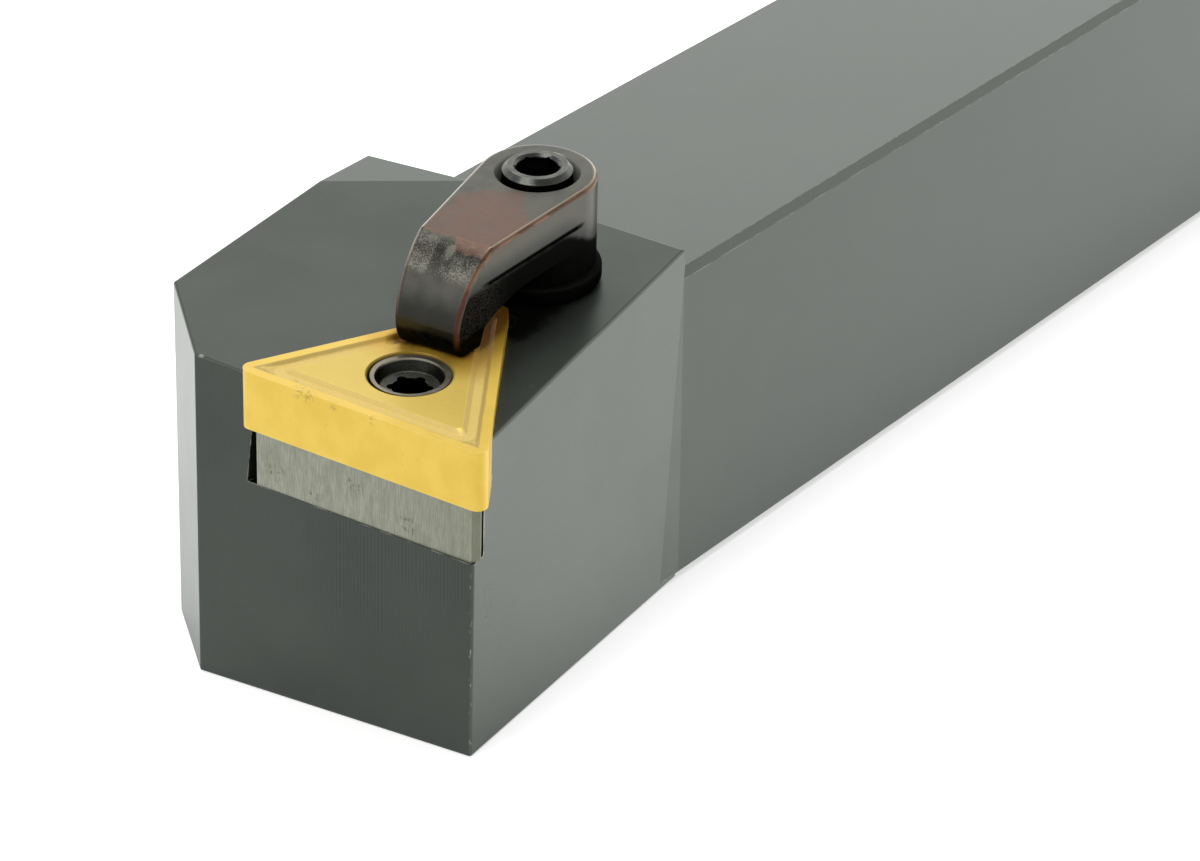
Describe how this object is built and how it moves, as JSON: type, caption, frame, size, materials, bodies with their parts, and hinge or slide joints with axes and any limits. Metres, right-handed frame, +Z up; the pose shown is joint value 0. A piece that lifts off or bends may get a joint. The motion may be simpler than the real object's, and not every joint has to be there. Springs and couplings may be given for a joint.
{
  "type": "turning tool holder",
  "caption": "Square-shank lathe tool holder with a triangular coated cutting insert held by an eccentric pin and a finger clamp.",
  "frame": {"origin": "underside of the shank, on its centre line, halfway along the straight part", "axes": "+X along the shank towards the cutting head, +Y towards the side that carries the cutting point, +Z up"},
  "size_m": [0.1524, 0.0333, 0.0363],
  "materials": {
    "oxided_steel": "satin black oxide over milled faces",
    "coated_carbide": "golden titanium-nitride coating",
    "ground_steel": "bare, ground",
    "pin_steel": "oiled, dark",
    "clamp_steel": "dark, scratched, reddish brown on top",
    "screw_steel": "black oxide, bright rims"
  },
  "bodies": {
    "holder": {"holder_body": "oxided_steel", "carbide_insert": "coated_carbide", "shim_seat": "ground_steel"},
    "screw": {"clamp_screw": "screw_steel"},
    "clamp": {"top_clamp": "clamp_steel"},
    "pin": {"lock_pin": "pin_steel"}
  },
  "joints": [
    {"name": "clamp_screw_turn", "type": "hinge", "parent": "holder", "child": "screw", "pos_m": [0.06858, 0.00578, 0.02672], "axis": [0.0956, 0.066, 0.9932], "range_deg": [0, 540]},
    {"name": "clamp_lift", "type": "slide", "parent": "holder", "child": "clamp", "axis": [0.0956, 0.066, 0.9932], "range_m": [0, 0.00272]},
    {"name": "lock_pin_turn", "type": "hinge", "parent": "holder", "child": "pin", "pos_m": [0.08705, 0.00711, 0.02594], "axis": [0.0956, 0.066, 0.9932], "range_deg": [0, 180]}
  ],
  "couplings": [
    {"joint": "clamp_screw_turn", "follows": "clamp_lift", "rad_per_m": 3463.7}
  ]
}
